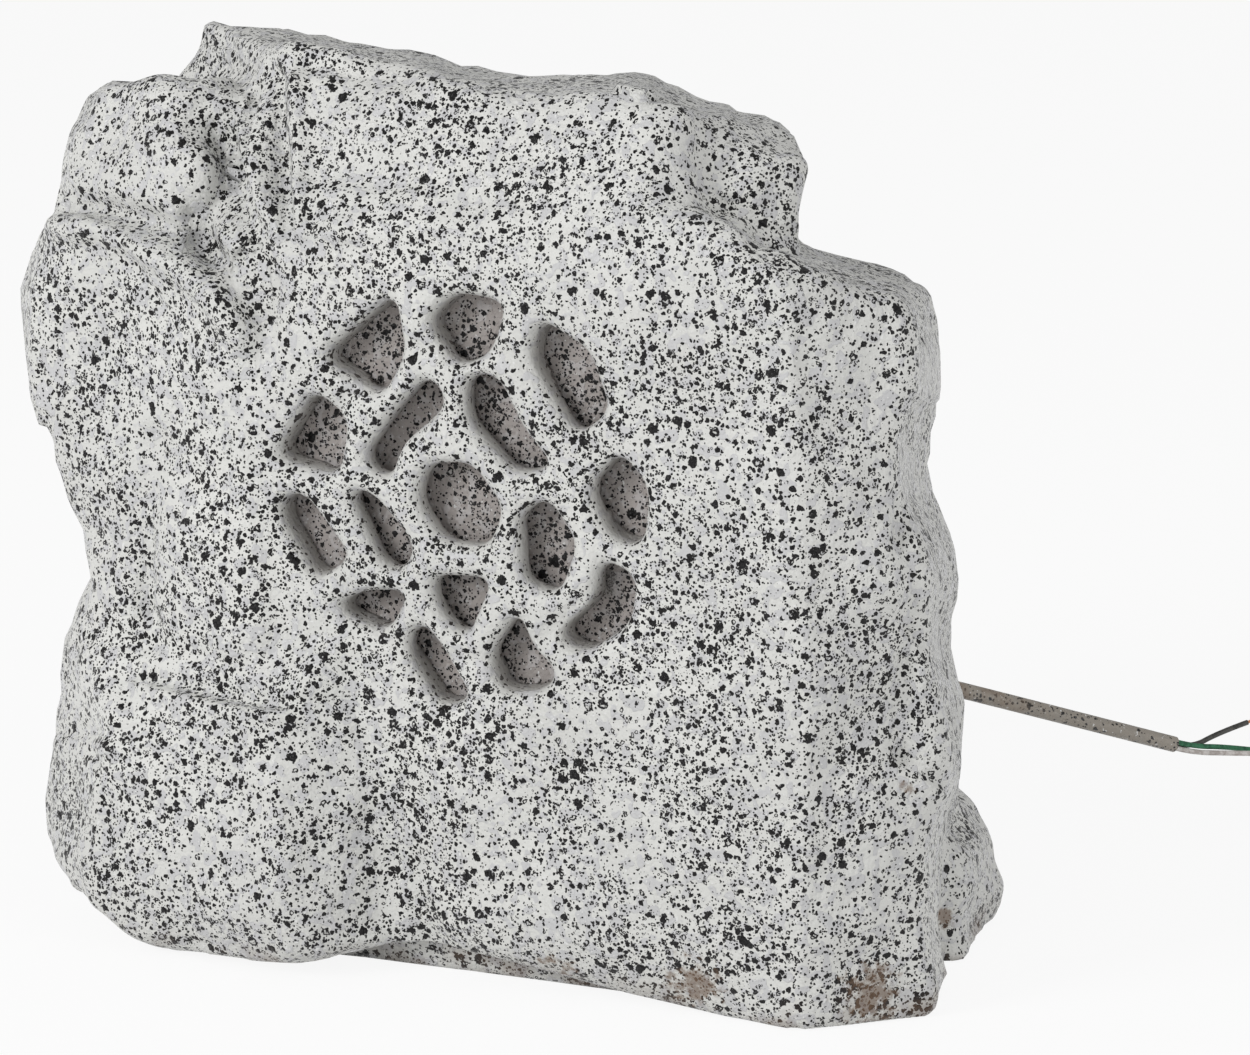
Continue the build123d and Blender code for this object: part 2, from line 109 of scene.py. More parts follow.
def make_cord(name, points, diameter):
    """Round cord along a smooth curve, with its length as the second result.

    The knots carry the radius, because a curve's box is drawn that far round each of them."""
    curve = bpy.data.curves.new(name, "CURVE")
    curve.dimensions = "3D"
    curve.bevel_depth = 1
    curve.bevel_resolution = CORD_ROUNDNESS
    curve.use_fill_caps = True
    spline = curve.splines.new("NURBS")
    spline.points.add(len(points) - 1)
    for knot, place in zip(spline.points, points):
        knot.co, knot.radius = (*place, 1), diameter / 2
    spline.order_u = 3
    spline.use_endpoint_u = True
    spline.resolution_u = CORD_STEPS
    cord = bpy.data.objects.new(name, curve)
    bpy.context.scene.collection.objects.link(cord)
    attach(cord, "cabinet")
    length = spline.calc_length()
    print(name, "length", round(length, 4))
    return cord, length


plug_back = Vector((0.021, -0.067, 0.108))
cable_points = [
    plug_back, plug_back + Vector((0, 0.070, 0)), by_gland(-45, 0, 73), by_gland(10, 0, 73),
    by_gland(26, 0, 73), by_gland(42, 0, 68.1), by_gland(138, 0, 36.4)]
cable, cable_length = make_cord("cable", cable_points, CABLE_DIAMETER)
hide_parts("cable_jacket")

# %% Cores that leave the cut end
cut_end = cable_points[-1]
cut_direction = (cable_points[-1] - cable_points[-2]).normalized()
cut_up = cut_direction.cross(beside_gland)
core_routes = {
    "black_core": (0, [(161, 4.5, 38), (176, 6.5, 40.7)]),
    "green_core": (120, [(161.5, 0.5, 33), (176, 2.5, 29.8)]),
    "white_core": (240, [(161, -2.5, 31), (176, -3, 29.5)])}
cores = {}
for name, (angle, points) in core_routes.items():
    turn = radians(angle)
    start = cut_end + (beside_gland * cos(turn) + cut_up * sin(turn)) * CORE_SPREAD
    route = [start, start + cut_direction * CORE_LEAD_OUT] + [by_gland(*point) for point in points]
    core, core_length = make_cord(name + "_wire", route, CORE_DIAMETER)
    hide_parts(name)
    cores[name] = (core, route, core_length)

# %% Bare copper: seven twisted strands at each core's end
COPPER_LENGTH, STRAND_RADIUS, STRAND_STEPS = 0.008, 0.00022, 9
STRANDS, STRAND_ROUNDNESS, TWIST = 7, 2, radians(200)


def make_strands(name, end, direction):
    """One straight strand with six wound round it."""
    curve = bpy.data.curves.new(name, "CURVE")
    curve.dimensions = "3D"
    curve.bevel_depth = 1
    curve.bevel_resolution = STRAND_ROUNDNESS
    curve.use_fill_caps = True
    side = direction.orthogonal().normalized()
    other = direction.cross(side)
    for strand in range(STRANDS):
        spline = curve.splines.new("POLY")
        spline.points.add(STRAND_STEPS - 1)
        from_middle = 2 * STRAND_RADIUS if strand else 0
        for step, knot in enumerate(spline.points):
            share = step / (STRAND_STEPS - 1)
            turn = strand * pi / 3 + share * TWIST
            knot.co = (*(end + direction * COPPER_LENGTH * share
                         + (side * cos(turn) + other * sin(turn)) * from_middle), 1)
            knot.radius = STRAND_RADIUS
    strands = bpy.data.objects.new(name, curve)
    bpy.context.scene.collection.objects.link(strands)
    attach(strands, "cabinet")
    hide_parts("bare_wire_ends")
    return strands


copper_ends = []
for name, (core, route, core_length) in cores.items():
    strands = make_strands(name + "_strands", route[-1], (route[-1] - route[-2]).normalized())
    copper_ends.append(strands)
print("bare ends", [piece.name for piece in copper_ends])

# %% [markdown]
# ## Rock: an even skin
#
# The CAD rock has the right facets, but its triangles are long and thin, so nothing fine can be
# shaped on it. A voxel remesh wraps it in small even squares, and closes two lumps of stone into
# the notch beside the peak. The faces inside the hollow are found too, by looking out from each
# CAD face: a face inside sees other walls all round. They are thinned at the end, because nobody
# sees them. A chamfer would leave a line round each cell of the grille, so the lips fall away with
# their distance from the cell's wall, and a smoothing pass rounds everything over.

# %% Remesh a copy of the CAD rock, with stone in its notch
SKIN_STEP = 0.002
NOTCH_LUMPS = [((-0.100, -0.065, 0.310), 0.018), ((-0.098, -0.074, 0.292), 0.017)]
cad_rock = nodes["rock_shell"]
rock = bpy.data.objects.new("granite_rock", cad_rock.data.copy())
rock.data.materials.clear()
bpy.context.scene.collection.objects.link(rock)


def apply_modifiers(piece):
    """Keeps the shape that the piece's modifiers give it, and removes them."""
    bpy.context.view_layer.update()
    shaped = piece.evaluated_get(bpy.context.evaluated_depsgraph_get())
    mesh = bpy.data.meshes.new_from_object(shaped)
    piece.modifiers.clear()
    piece.data = mesh


stone = bmesh.new()
stone.from_mesh(rock.data)
for middle, radius in NOTCH_LUMPS:
    bmesh.ops.create_icosphere(stone, subdivisions=3, radius=radius,
                               matrix=Matrix.Translation(middle))
stone.to_mesh(rock.data)
stone.free()
remesh = rock.modifiers.new("even skin", "REMESH")
remesh.mode = "VOXEL"
remesh.voxel_size = SKIN_STEP
apply_modifiers(rock)
print("skin points", len(rock.data.vertices))

# %% Find the faces inside the hollow
LEAN = 0.9
LOOKS = [Vector(look) * LEAN for look in
         [(0, 0, 0), (0, 0, 1), (1, 0, 0), (-1, 0, 0), (0, 1, 0), (0, -1, 0)]]
STEP_OFF = 0.5 * MM
cad_tree = BVHTree.FromPolygons([v.co for v in cad_rock.data.vertices],
                                [p.vertices[:] for p in cad_rock.data.polygons])


def sees_only_walls(face):
    """True for a CAD face of the hollow: walls all round it, and open air behind its own wall."""
    start = face.center + face.normal * STEP_OFF
    rays = [(face.normal + look).normalized() for look in LOOKS]
    if not all(cad_tree.ray_cast(start, ray)[0] for ray in rays):
        return False
    behind = cad_tree.ray_cast(face.center - face.normal * STEP_OFF, -face.normal)[0]
    return not behind or not cad_tree.ray_cast(behind - face.normal * STEP_OFF, -face.normal)[0]


def skin_arrays(piece):
    """Points and normals of a mesh as arrays."""
    count = len(piece.data.vertices)
    points, normals = np.empty(count * 3), np.empty(count * 3)
    piece.data.vertices.foreach_get("co", points)
    piece.data.vertex_normals.foreach_get("vector", normals)
    return points.reshape(-1, 3), normals.reshape(-1, 3)


def soft_step(low, high, value):
    """0 below low, 1 above high, and smooth between."""
    share = np.clip((value - low) / (high - low), 0, 1)
    return share * share * (3 - 2 * share)


inside_face = [sees_only_walls(face) for face in cad_rock.data.polygons]
points, normals = skin_arrays(rock)
inside = np.array([inside_face[cad_tree.find_nearest(Vector(p))[2]]
                   and cad_tree.ray_cast(Vector(p + n * SKIN_STEP), Vector(n))[0] is not None
                   for p, n in zip(points, normals)])
hollow = [bool(inside[list(face.vertices)].all()) for face in rock.data.polygons]
rock.data.polygons.foreach_set("material_index", hollow)
print("share of the skin inside", round(float(inside.mean()), 3))

# %% Let the lips of the cells fall away
GRILLE_CENTRE, GRILLE_REACH = Vector((0.021, -0.110, 0.184)), 0.088
LIP_REACH, LIP_FALL, LIP_END, CELL_END = 0.0065, 0.0034, 0.0055, 0.0135
cell_depth = points[:, 1] - GRILLE_CENTRE.y
from_axis = np.hypot(points[:, 0] - GRILLE_CENTRE.x, points[:, 2] - GRILLE_CENTRE.z)
in_grille = (from_axis < GRILLE_REACH) & ~inside
cell_wall = points[(cell_depth > LIP_END) & (cell_depth < CELL_END) & in_grille]
lip_tree = kdtree.KDTree(len(cell_wall))
for number, (x, y, z) in enumerate(cell_wall):
    lip_tree.insert((x, 0, z), number)
lip_tree.balance()
round_grille = from_axis < GRILLE_REACH + LIP_REACH
by_lip = np.flatnonzero((cell_depth < LIP_END) & round_grille & ~inside)
for number in by_lip:
    x, y, z = points[number]
    share = max(0, 1 - lip_tree.find((x, 0, z))[2] / LIP_REACH)
    points[number, 1] += LIP_FALL * share ** 2 * (1 - max(cell_depth[number], 0) / LIP_END)
print("lip points", len(by_lip))

# %% Open the cells by what smoothing takes from them
OPENING, OPEN_FULL, OPEN_END, STEEP = 0.0008, 0.004, 0.014, 0.6
opened = in_grille & (cell_depth > 0) & (cell_depth < OPEN_END) & (np.abs(normals[:, 1]) < STEEP)
lean = -OPENING * np.clip(cell_depth / OPEN_FULL, 0, 1) * opened
points += normals * (1, 0, 1) * lean[:, None]
rock.data.vertices.foreach_set("co", points.ravel())
rock.data.update()
print("points of the cells' walls", int(opened.sum()))

# %% Round the edges over
SOFTEN_PASSES, SOFTEN_SHARE, WEIGHT_LEVELS = 5, 0.5, 20
GROUND_CLEAR = (1 * MM, 8 * MM)
off_ground = soft_step(*GROUND_CLEAR, points[:, 2])


def mark(name, weights):
    """Vertex group with a weight for each point of the rock."""
    group = rock.vertex_groups.new(name=name)
    levels = np.round(weights * WEIGHT_LEVELS) / WEIGHT_LEVELS
    for level in np.unique(levels[levels > 0]):
        group.add(np.flatnonzero(levels == level).tolist(), float(level), "REPLACE")
    return group.name


smooth = rock.modifiers.new("soften", "SMOOTH")
smooth.factor, smooth.iterations = SOFTEN_SHARE, SOFTEN_PASSES
smooth.vertex_group = mark("softened", off_ground * ~inside)
apply_modifiers(rock)
points, normals = skin_arrays(rock)
print("softened in", SOFTEN_PASSES, "passes")

# %% [markdown]
# ## Rock: weathered relief
#
# The mould was taken from a real stone, so its skin has lumps, soft creases and ledges. They
# could be painted in a sculpting mode, but a script has to give the same stone each time, so
# each crease is a stroke: a line of pixels in the picture with a width and a depth. Every point
# of the skin that faces the camera is pushed along its normal by its distance from the stroke.
# Before that, anchors on the outline draw the whole skin sideways until its edge lies where the
# picture has it. Layers of noise add the lumps all round, and no push may go through the wall.

# %% Place the skin in the picture
def in_picture(places):
    """Pixel of the picture that each place falls on."""
    to_camera = np.array(camera.matrix_world.inverted())
    seen = places @ to_camera[:3, :3].T + to_camera[:3, 3]
    return np.stack([PICTURE[0] / 2 - focal_pixels * seen[:, 0] / seen[:, 2],
                     PICTURE[1] / 2 + focal_pixels * seen[:, 1] / seen[:, 2]], axis=1)


def from_stroke(pixels, stroke):
    """Distance of each pixel from a stroke, and its side: above zero is below or right of it."""
    best = np.full(len(pixels), np.inf)
    side = np.zeros(len(pixels))
    for start, end in zip(stroke, stroke[1:]):
        start, run = np.array(start, float), np.array(end, float) - np.array(start, float)
        share = np.clip((pixels - start) @ run / (run @ run), 0, 1)
        far = np.hypot(*(pixels - start - share[:, None] * run).T)
        cross = run[0] * (pixels - start)[:, 1] - run[1] * (pixels - start)[:, 0]
        side = np.where(far < best, np.sign(cross), side)
        best = np.minimum(best, far)
    return best, side


print("rock spans pixels", *np.ptp(in_picture(points), axis=0).round())

# %% Draw the outline to the picture: a pixel of the edge, and how far it has to go
ANCHOR_REACH = 46
outline_anchors = [
    ((182, 48), (50, 0)), ((150, 75), (0, 6)), ((207, 22), (-15, -4)), ((300, 40), (0, -2)),
    ((385, 48), (0, 9)), ((470, 62), (0, 14)), ((545, 66), (0, 9)), ((600, 76), (0, -3)),
    ((655, 84), (0, -8)), ((700, 90), (0, 4)), ((748, 98), (-3, 26)), ((795, 118), (-3, 16)),
    ((806, 165), (12, 0)), ((806, 212), (-14, 0)), ((806, 238), (-14, 3)), ((860, 256), (0, 7)),
    ((925, 285), (-4, 4)), ((936, 370), (8, 0)), ((940, 480), (-13, 0)), ((946, 580), (13, 0)),
    ((948, 700), (16, 0)), ((952, 770), (20, 0)), ((985, 820), (3, 3)), ((1000, 865), (5, 4)),
    ((985, 940), (-16, 2)), ((950, 985), (8, 4)), ((70, 860), (-18, 8)), ((54, 790), (-13, 0)),
    ((120, 915), (-6, 3)), ((72, 560), (23, 0)), ((66, 640), (4, 0)), ((68, 500), (2, 0)),
    ((30, 310), (-13, 0)), ((46, 400), (-6, 0)), ((35, 238), (13, 0)), ((62, 160), (4, 0)),
    ((85, 95), (16, 4))]
GLAND_SPOT, GLAND_CLEAR = np.array(by_gland(0, 0, 73)), (0.022, 0.040)

pixels = in_picture(points)
weight_sum, drawn = np.zeros(len(points)), np.zeros((len(points), 2))
for spot, shift in outline_anchors:
    weight = np.exp(-(((pixels - spot) / ANCHOR_REACH) ** 2).sum(axis=1))
    weight_sum += weight
    drawn += weight[:, None] * shift
drawn /= np.maximum(weight_sum, 1)[:, None]
drawn *= soft_step(*GLAND_CLEAR, np.linalg.norm(points - GLAND_SPOT, axis=1))[:, None]
picture_axes = np.array(camera.matrix_world)[:3, :2] * (1, -1)
points += drawn @ picture_axes.T * PIXEL_SIZE
points[:, 2] = np.maximum(points[:, 2], 0)
farthest = np.linalg.norm(drawn, axis=1).max()
print("outline moved by up to", round(float(farthest), 1), "pixels")

# %% Strokes: line of pixels, half width in pixels and depth in millimetres
LEDGE_STEEPNESS, FACING_RANGE = 1.6, (0.02, 0.3)
creases = [
    ([(212, 128), (230, 166), (240, 198), (249, 240), (260, 300), (272, 375)], 15, 8),
    ([(58, 202), (110, 210), (150, 221), (200, 240), (238, 285)], 13, 6),
    ([(134, 264), (147, 284), (162, 310)], 7, 2.5),
    ([(274, 75), (278, 130), (281, 175), (283, 228)], 10, 5),
    ([(310, 62), (350, 70), (405, 80)], 12, 4),
    ([(715, 120), (710, 160), (722, 200)], 17, 7),
    ([(790, 236), (760, 228), (735, 205)], 8, 3),
    ([(152, 440), (146, 540), (152, 640)], 17, 3.5),
    ([(398, 720), (388, 830), (396, 900), (420, 955)], 28, 3.5),
    ([(905, 500), (912, 620), (905, 760)], 12, 3.5),
    ([(936, 470), (915, 500), (900, 540)], 10, 4)]
ridges = [
    ([(246, 105), (254, 160), (262, 206)], 10, 5),
    ([(297, 82), (299, 150), (294, 228)], 9, 4),
    ([(66, 226), (110, 232), (146, 248), (190, 274), (224, 300), (248, 340)], 13, 6.5)]
ledges = [
    ([(150, 684), (240, 702), (345, 716)], 12, 4),
    ([(560, 690), (620, 686), (685, 690)], 8, 1.2),
    ([(290, 240), (420, 238), (560, 232), (700, 236), (800, 244)], 16, -1.8),
    ([(915, 640), (945, 668), (960, 680)], 9, 2.5),
    ([(905, 765), (940, 790), (965, 800)], 9, 2.5),
    ([(60, 735), (110, 742), (150, 735)], 10, 2)]

pixels = in_picture(points)
view = points - np.array(camera.location)
view /= np.linalg.norm(view, axis=1)[:, None]
facing = soft_step(*FACING_RANGE, -(normals * view).sum(axis=1))
push = np.zeros(len(points))
for sign, strokes in [(-1, creases), (1, ridges)]:
    for stroke, half_width, depth in strokes:
        far, _ = from_stroke(pixels, stroke)
        push += sign * facing * depth * MM * np.exp(-(far / half_width) ** 2)
for stroke, half_width, depth in ledges:
    far, side = from_stroke(pixels, stroke)
    step = LEDGE_STEEPNESS * side * far / half_width * np.exp(-(far / half_width) ** 2)
    push += facing * depth * MM * step
print("strokes", len(creases + ridges + ledges), "deepest", round(-push.min() / MM, 1), "mm")

# %% Lumps all round, calmer on the broad face
CALM_FACE, CALM_GRILLE = 0.45, 0.12
SQUARE_ON, FACE_LEFT = (0.8, 0.97), (-0.03, 0.02)
BEHIND_FACE, GRILLE_RIM = (0.02, 0.05), (GRILLE_REACH - 0.006, GRILLE_REACH + 0.02)
lump_layers = [(0.060, 5.0), (0.024, 2.6), (0.010, 1.0)]
broad_face = soft_step(*SQUARE_ON, -normals[:, 1]) * soft_step(*FACE_LEFT, points[:, 0])
liveliness = 1 - (1 - CALM_FACE) * broad_face
for size, height in lump_layers:
    swell = np.array([noise.noise(Vector(p) / size) for p in points])
    push += height * MM * swell * liveliness

behind_face = soft_step(*BEHIND_FACE, points[:, 1] - GRILLE_CENTRE.y)
off_grille = np.maximum(soft_step(*GRILLE_RIM, from_axis), behind_face)
push *= np.maximum(off_grille, CALM_GRILLE) * off_ground * ~inside
print("lump layers", len(lump_layers), "highest push", round(push.max() / MM, 1), "mm")

# %% Keep the wall whole
LEAST_WALL, START_INSIDE = 2.5 * MM, 1.5 * MM


def wall_behind(point, normal):
    """Thickness of the rock behind a point of its skin."""
    point, normal = Vector(point), Vector(normal)
    reach = cad_tree.ray_cast(point - normal * START_INSIDE, -normal)[3]
    return START_INSIDE + reach if reach else 1.0


wall = np.array([wall_behind(p, n) for p, n in zip(points, normals)])
push = np.maximum(push, -np.maximum(wall - LEAST_WALL, 0))
points += normals * push[:, None]
print("thinnest wall", round(float((wall + push)[~inside].min() / MM), 1), "mm")

# %% [markdown]
# ## Rock: foot and hidden side
#
# The mould's lower edge turns under towards the base plate, so the rock stands on a narrow foot
# with a thin dark line below it. Each low point moves in and up, by amounts read along the
# picture's columns. At the end the triangles that the picture doesn't show are thinned, which
# makes the piece lighter. Thinning all of it evenly would blur the lips of the cells.

# %% Roll the bottom edge under, towards the base plate
BOTTOM_ROUND, NOT_FLAT = 0.034, 0.999
PLATE_NEAR, PLATE_FAR = 0.006, 0.026
LIFT_COLUMNS = [60, 250, 320, 375, 425, 500, 620, 717]
LIFT_HEIGHTS = [0.5, 3.5, 6.5, 10.5, 13, 9.5, 3, 0.5]
TUCK_COLUMNS, TUCK_DEPTHS = [620, 850], [12, 4]
lifts = np.interp(pixels[:, 0], LIFT_COLUMNS, LIFT_HEIGHTS) * MM
tucks = np.interp(pixels[:, 0], TUCK_COLUMNS, TUCK_DEPTHS) * MM
plate = nodes["base_plate"].data
plate_tree = BVHTree.FromPolygons([v.co for v in plate.vertices],
                                  [f.vertices[:] for f in plate.polygons])
plate_height = sum(v.co.z for v in plate.vertices) / len(plate.vertices)
for number in np.flatnonzero((points[:, 2] < BOTTOM_ROUND) & ~inside):
    x, y, z = points[number]
    level = Vector((x, y, plate_height))
    inward = (plate_tree.find_nearest(level)[0] - level) * Vector((1, 1, 0))
    share = soft_step(PLATE_NEAR, PLATE_FAR, inward.length)
    under = 1 - max(z, 0) / BOTTOM_ROUND
    roll = 1 - (1 - NOT_FLAT * under ** 2) ** 0.5
    rise = Vector((0, 0, lifts[number] * under ** 2))
    points[number] += share * np.array(inward.normalized() * tucks[number] * roll + rise)
points[:, 2] = np.maximum(points[:, 2], 0)
rock.data.vertices.foreach_set("co", points.ravel())
rock.data.update()
print("lowest point of the skin", round(float(points[:, 2].min() / MM), 1), "mm")

# %% Thin what the picture doesn't show
FACE_LIMIT, WEB_DEPTH = 190000, 0.020
TURNED_AWAY, THIN_SHARE = 0.05, 0.3
faces_now = sum(len(face.vertices) - 2 for face in rock.data.polygons)
if faces_now > FACE_LIMIT:
    thin = rock.modifiers.new("thin the hollow", "DECIMATE")
    by_grille = round_grille & (cell_depth < WEB_DEPTH)
    unseen = np.where(inside, 1.0, THIN_SHARE * (facing < TURNED_AWAY))
    thin.vertex_group = mark("thinned", unseen * ~by_grille)
    thin.ratio = FACE_LIMIT / faces_now
    apply_modifiers(rock)
rock.data.shade_smooth()
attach(rock, "cabinet")
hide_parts("rock_shell")
print("rock triangles", faces_now, "then", sum(len(f.vertices) - 2 for f in rock.data.polygons))

# %% [markdown]
# ## Granite paint
#
# The real finish is three sprays: a greenish white coat, lavender grey blots and black drops
# from fine mist up to four millimetres. A picture of granite could be wrapped round the rock,
# but it would stretch and show seams. Drops made from cell noise fill the space instead, and the
# rock's skin cuts through them, so they fit on every side.

# %% Node helpers
def put(tree, kind, sockets=(), **settings):
    """Node with its settings, and its sockets by name or number as values or links."""
    made = tree.nodes.new(kind)
    for name, value in settings.items():
        setattr(made, name, value)
    for key, value in dict(sockets).items():
        if isinstance(value, bpy.types.NodeSocket):
            tree.links.new(value, made.inputs[key])
        else:
            made.inputs[key].default_value = value
    return made


def sums(tree, operation, *values):
    """Result of a math node."""
    return put(tree, "ShaderNodeMath", enumerate(values), operation=operation).outputs[0]


def ramp(tree, value, low, high, start=0.0, end=1.0):
    """Value that goes smoothly from start to end."""
    return put(tree, "ShaderNodeMapRange", {
        "Value": value, "From Min": low, "From Max": high, "To Min": start, "To Max": end},
        interpolation_type="SMOOTHSTEP").outputs[0]


def tint(tree, share, under, over):
    """Colour that goes from one to the other as the share grows."""
    return put(tree, "ShaderNodeMix", {0: share, 6: under, 7: over}, data_type="RGBA").outputs[2]


def grain(tree, place, scale, detail=2.0, rough=0.5):
    """Grey noise at a scale in cells to the metre."""
    return put(tree, "ShaderNodeTexNoise", {
        "Vector": place, "Scale": scale, "Detail": detail, "Roughness": rough}).outputs[0]


def new_group(name, inputs, outputs):
    """Empty node group, with its way in and its way out."""
    tree = bpy.data.node_groups.new(name, "ShaderNodeTree")
    for title, kind, value in inputs:
        socket = tree.interface.new_socket(title, in_out="INPUT", socket_type="NodeSocket" + kind)
        if value is not None:
            socket.default_value = value
    for title, kind in outputs:
        tree.interface.new_socket(title, in_out="OUTPUT", socket_type="NodeSocket" + kind)
    return tree, tree.nodes.new("NodeGroupInput").outputs, tree.nodes.new("NodeGroupOutput").inputs


def use(tree, group, sockets):
    """Group placed in a tree, with its sockets set."""
    return put(tree, "ShaderNodeGroup", sockets, node_tree=group).outputs


print("helpers", [helper.__name__ for helper in (put, sums, ramp, tint, grain, new_group, use)])

# %% Group: drops of one size
SMALLEST_DROP, SOLID_SHARE, HIGHLIGHT_MIDDLE, DROP_EDGE = 0.4, 0.75, (0.45, 0.6), 0.05


def make_drops():
    """Round drops in space, each with its own size, some missing, and some with a painted
    highlight: their middle keeps the coat's colour, so they show as rings.
    """
    tree, given, made = new_group(
        "sprayed drops",
        [("Place", "Vector", None), ("Cells", "Float", 200.0), ("Radius", "Float", 0.3),
         ("Amount", "Float", 0.5)],
        [("Mask", "Float"), ("Dome", "Float")])
    cells = put(tree, "ShaderNodeTexVoronoi", {"Vector": given["Place"], "Scale": given["Cells"]})
    chance = put(tree, "ShaderNodeSeparateColor", {0: cells.outputs["Color"]}).outputs
    size = ramp(tree, chance[0], 0.0, 1.0, SMALLEST_DROP, 1.0)
    there = sums(tree, "LESS_THAN", chance[1], given["Amount"])
    radius = sums(tree, "MULTIPLY", sums(tree, "MULTIPLY", size, given["Radius"]), there)
    depth = sums(tree, "SUBTRACT", radius, cells.outputs["Distance"])
    # Painted highlight: some drops keep the coat's colour in their middle, where a glint would be.
    painted_highlight = sums(tree, "MULTIPLY", sums(tree, "GREATER_THAN", chance[2], SOLID_SHARE),
                   ramp(tree, sums(tree, "DIVIDE", depth, radius), *HIGHLIGHT_MIDDLE))
    solid = sums(tree, "MULTIPLY", ramp(tree, depth, 0.0, DROP_EDGE),
                 sums(tree, "SUBTRACT", 1.0, painted_highlight))
    dome = sums(tree, "DIVIDE", sums(tree, "MAXIMUM", depth, 0.0), given["Cells"])
    tree.links.new(solid, made["Mask"])
    tree.links.new(dome, made["Dome"])
    return tree


drops = make_drops()
print("group", drops.name)

# %% Group: granite paint, with drops as cells to the metre, radius in cells and amount
DROP_LAYERS = [(200, 0.43, 0.26), (320, 0.46, 0.66), (490, 0.47, 0.76), (850, 0.46, 0.76)]
DROP_SHIFT = [0.0036, 0.0026, 0.0017, 0.0009]
RAGGED_CELLS, CROWD_CELLS, BLOT_CELLS, SHADE_CELLS = 620, 30, 210, 16
FEWEST, MOST, DIMMEST, BRIGHTEST = 0.55, 1.35, 0.94, 1.04
FLECK, DROP_BLACK = (0.78, 0.78, 0.77, 1), (0.008, 0.0075, 0.008, 1)
COAT_ROUGH, BLOT_ROUGH, DROP_ROUGH = ((level, level, level, 1) for level in (0.48, 0.3, 0.25))
PEEL_HEIGHT, BLOT_HEIGHT, DOME_SHARE = 0.0007, 0.00018, 0.5


def make_granite():
    """Granite spray: colour, roughness and height. Black sets how much of it is black."""
    tree, given, made = new_group(
        "granite paint",
        [("Place", "Vector", None), ("Coat", "Color", (0.71, 0.71, 0.685, 1)),
         ("Blot", "Color", (0.6, 0.6, 0.605, 1)), ("Black", "Float", 1.0)],
        [("Color", "Color"), ("Roughness", "Float"), ("Height", "Float")])
    place = given["Place"]
    ragged = put(tree, "ShaderNodeTexNoise", {
        "Vector": place, "Scale": RAGGED_CELLS, "Detail": 1.5})
    shift = put(tree, "ShaderNodeVectorMath", {0: ragged.outputs["Color"], 1: (0.5, 0.5, 0.5)},
                operation="SUBTRACT").outputs[0]
    crowd = ramp(tree, grain(tree, place, CROWD_CELLS), 0.32, 0.68, FEWEST, MOST)
    black = sums(tree, "MULTIPLY", crowd, given["Black"])
    masks, domes = [], []
    for (cells, radius, amount), reach in zip(DROP_LAYERS, DROP_SHIFT):
        moved = put(tree, "ShaderNodeVectorMath", {0: shift, 1: (reach,) * 3, 2: place},
                    operation="MULTIPLY_ADD").outputs[0]
        layer = use(tree, drops, {"Place": moved, "Cells": cells, "Radius": radius,
                                  "Amount": sums(tree, "MULTIPLY", black, amount)})
        masks.append(layer["Mask"])
        domes.append(layer["Dome"])
    mask = sums(tree, "MAXIMUM", sums(tree, "MAXIMUM", *masks[:2]),
                sums(tree, "MAXIMUM", *masks[2:]))
    blots = ramp(tree, grain(tree, place, BLOT_CELLS, 1.0), 0.53, 0.58)
    flecks = ramp(tree, ragged.outputs["Fac"], 0.67, 0.7)
    shade = ramp(tree, grain(tree, place, SHADE_CELLS), 0.3, 0.7, DIMMEST, BRIGHTEST)
    coat = put(tree, "ShaderNodeVectorMath", {0: given["Coat"], "Scale": shade},
               operation="SCALE").outputs[0]
    colour = tint(tree, blots, coat, given["Blot"])
    colour = tint(tree, flecks, colour, FLECK)
    colour = tint(tree, mask, colour, DROP_BLACK)
    tree.links.new(colour, made["Color"])
    satin = tint(tree, blots, COAT_ROUGH, BLOT_ROUGH)
    satin = tint(tree, mask, satin, DROP_ROUGH)
    tree.links.new(satin, made["Roughness"])
    peel = sums(tree, "MULTIPLY", ragged.outputs["Fac"], PEEL_HEIGHT)
    film = sums(tree, "MULTIPLY", blots, BLOT_HEIGHT)
    drop_height = sums(tree, "MULTIPLY", sums(tree, "MAXIMUM", *domes[:2]), DOME_SHARE)
    height = sums(tree, "ADD", sums(tree, "ADD", peel, film), drop_height)
    tree.links.new(height, made["Height"])
    return tree


granite = make_granite()
print("group", granite.name)

# %% Group: ground dirt
RAGGEDNESS = 2.2


def make_soil():
    """Patches of soil round a spot, ragged at the edge."""
    tree, given, made = new_group(
        "soil patch",
        [("Place", "Vector", None), ("Spot", "Vector", None), ("Reach", "Float", 0.02)],
        [("Mask", "Float")])
    away = put(tree, "ShaderNodeVectorMath", {0: given["Place"], 1: given["Spot"]},
               operation="DISTANCE").outputs["Value"]
    near = sums(tree, "SUBTRACT", 1.0, sums(tree, "DIVIDE", away, given["Reach"]))
    ragged = sums(tree, "SUBTRACT", grain(tree, given["Place"], 220, 4, 0.7), 0.5)
    torn = sums(tree, "ADD", near, sums(tree, "MULTIPLY", ragged, RAGGEDNESS))
    tree.links.new(ramp(tree, torn, 0.25, 0.75), made["Mask"])
    return tree


soil_patch = make_soil()
print("group", soil_patch.name)

# %% Material helpers
AXIS_SPOT = (GRILLE_CENTRE.x, 0, GRILLE_CENTRE.z)


def new_material(name, **values):
    """Material with one Principled shader, its plain values, and where pieces lie in space."""
    material = bpy.data.materials.new(name)
    material.use_nodes = True
    tree = material.node_tree
    shader = tree.nodes["Principled BSDF"]
    for title, value in values.items():
        shader.inputs[title.replace("_", " ")].default_value = value
    place = put(tree, "ShaderNodeTexCoord").outputs["Object"]
    return material, tree, shader, place


def raise_skin(tree, shader, height):
    """Bump from a height in metres."""
    bump = put(tree, "ShaderNodeBump", {"Height": height, "Strength": 1.0, "Distance": 1.0})
    tree.links.new(bump.outputs[0], shader.inputs["Normal"])


def split(tree, place):
    """The three axes of a place."""
    return put(tree, "ShaderNodeSeparateXYZ", {0: place}).outputs


